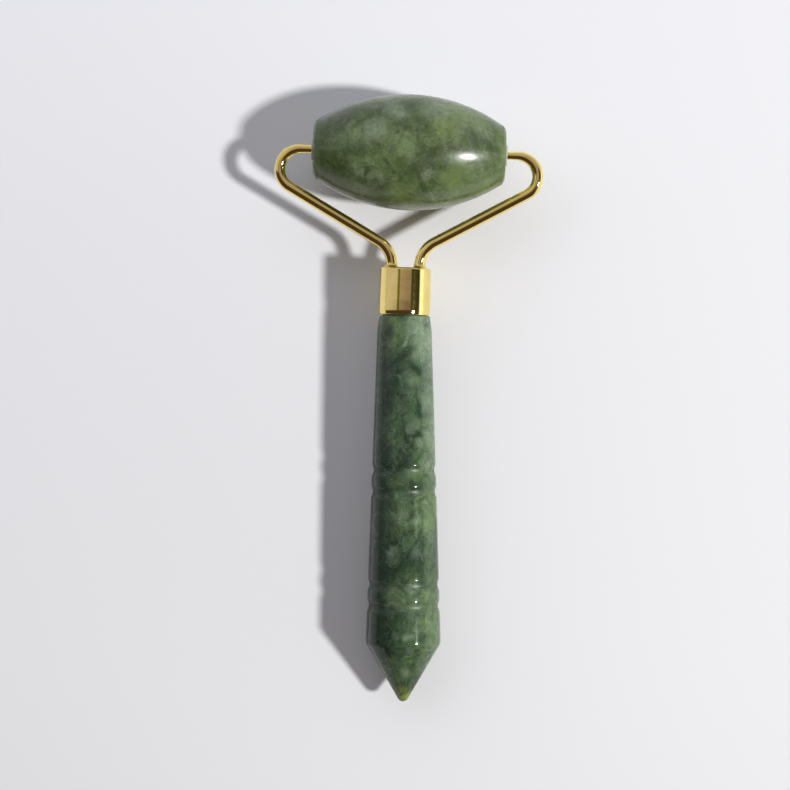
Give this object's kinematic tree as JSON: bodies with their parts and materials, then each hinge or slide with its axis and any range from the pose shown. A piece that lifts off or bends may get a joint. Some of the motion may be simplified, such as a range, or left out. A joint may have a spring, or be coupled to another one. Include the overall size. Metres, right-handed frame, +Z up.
{
  "type": "jade face roller",
  "caption": "Hand-held face roller: a barrel-shaped jade roller spins between sprung gold wire arms on a tapered, ring-grooved jade handle with a pointed end.",
  "frame": {"origin": "bottom centre of the bounding box, on the surface that the roller lies on", "axes": "+Z up; +Y along the handle, from its pointed end towards the roller; +X to the right as seen from above with the roller at the far end"},
  "size_m": [0.0584, 0.132, 0.0252],
  "materials": {
    "handle_jade": "polished",
    "roller_jade": "polished",
    "gold_plate": "polished",
    "nylon": "satin",
    "epoxy": "gloss"
  },
  "bodies": {
    "handle": {"handle_stone": "handle_jade", "ferrule": "gold_plate", "adhesive": "epoxy", "wire_arm_left": "gold_plate", "wire_arm_right": "gold_plate", "solder_collars": "gold_plate"},
    "roller": {"roller_stone": "roller_jade", "bush_left": "nylon", "bush_right": "nylon"}
  },
  "joints": [
    {"name": "roller_spin", "type": "hinge", "parent": "handle", "child": "roller", "pos_m": [0.00013, 0.05339, 0.0126], "axis": [0.9996, -0.0296, -0.0012], "continuous": true}
  ]
}
